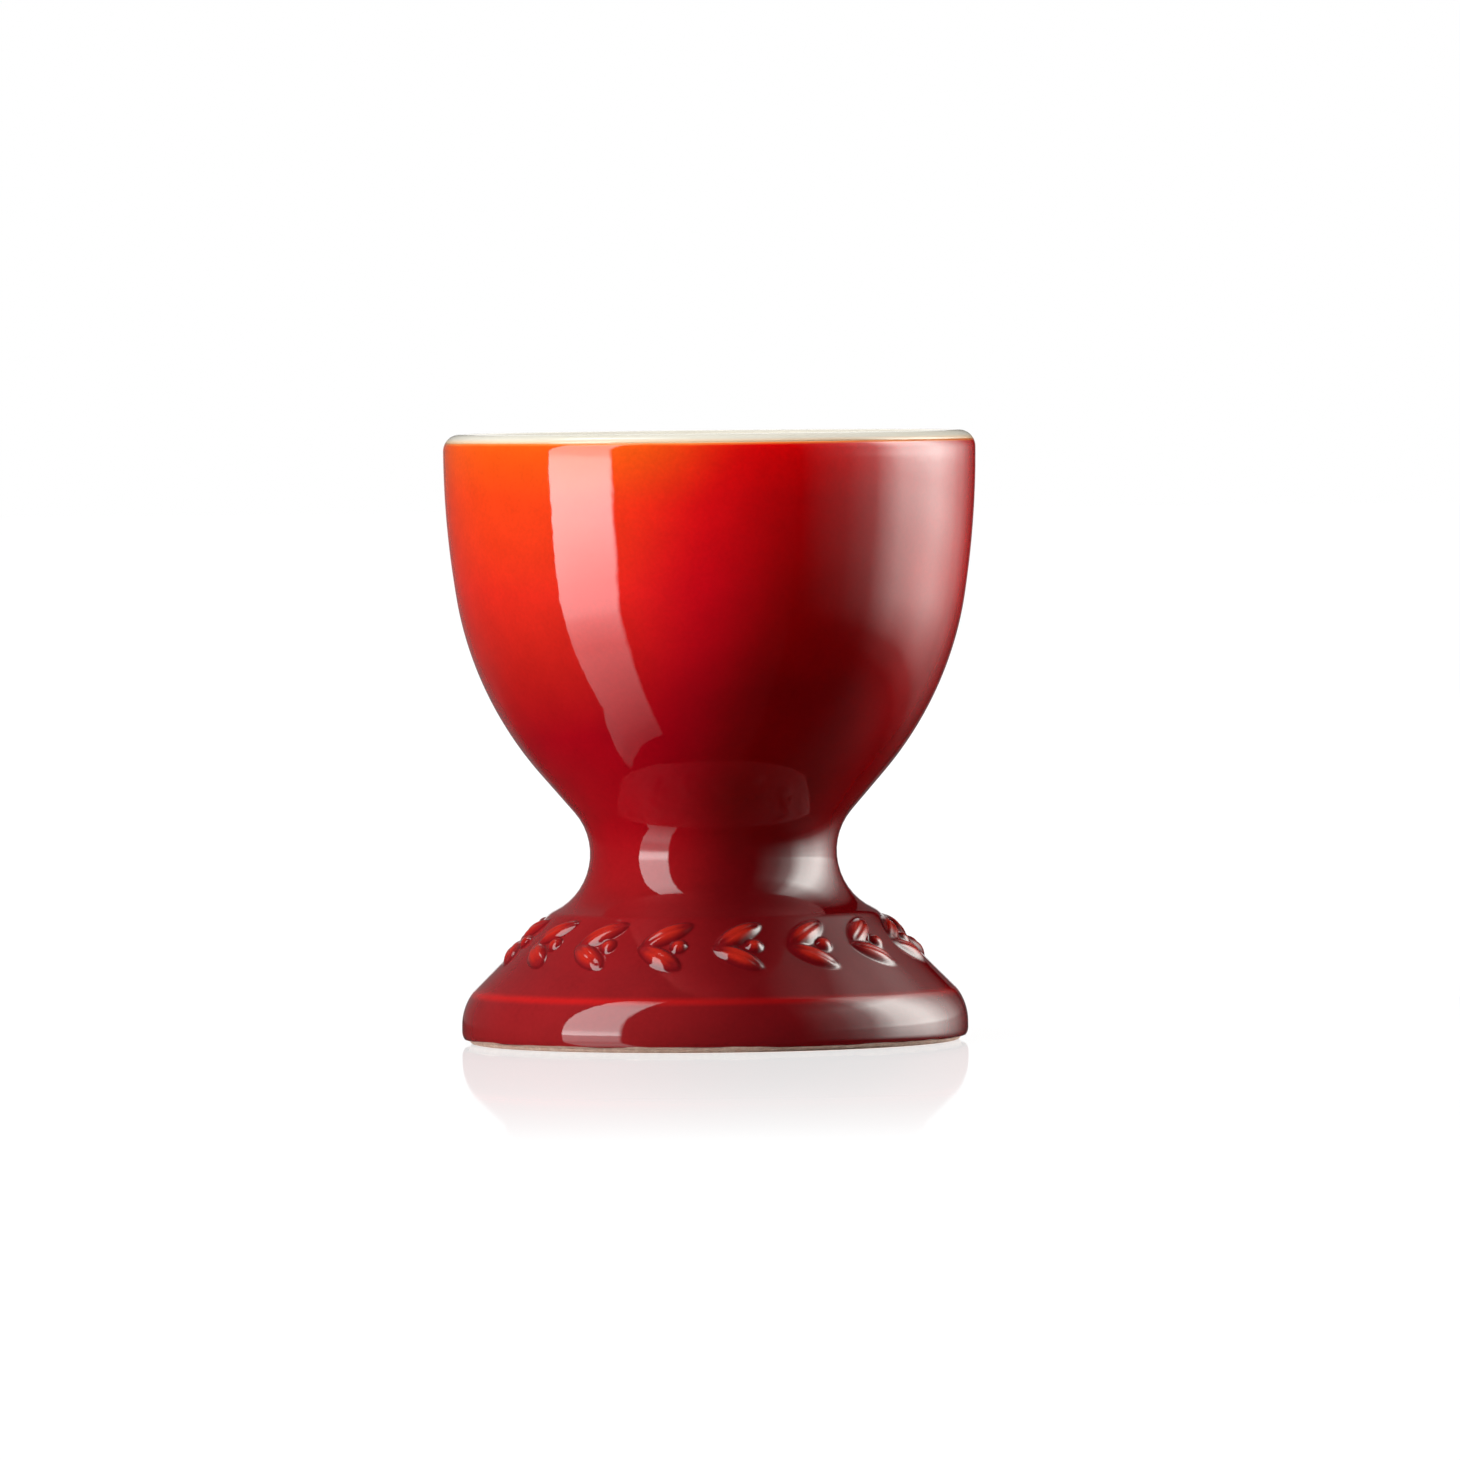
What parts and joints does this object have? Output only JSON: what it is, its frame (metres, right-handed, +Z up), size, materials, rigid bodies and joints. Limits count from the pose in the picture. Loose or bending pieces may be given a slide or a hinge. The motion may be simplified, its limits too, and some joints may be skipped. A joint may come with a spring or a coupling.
{
  "type": "egg cup",
  "caption": "Footed stoneware egg cup, an egg-shaped bowl on a short waisted stem and a conical foot with a raised wreath of leaves and berries, to hold one boiled egg upright.",
  "frame": {"origin": "on the table plane, under the cup's axis: the centre of the bare standing ring", "axes": "+Z up along the cup's axis of revolution, towards the open mouth; +X and +Y in the table plane"},
  "size_m": [0.0507, 0.0506, 0.058],
  "materials": {
    "stoneware": "matte",
    "red_glaze": "gloss",
    "cream_glaze": "gloss",
    "dark_red_glaze": "gloss"
  },
  "bodies": {
    "root": {"bowl": "stoneware", "foot": "stoneware", "outer_glaze": "red_glaze", "liner_glaze": "cream_glaze", "recess_glaze": "dark_red_glaze"}
  },
  "joints": []
}
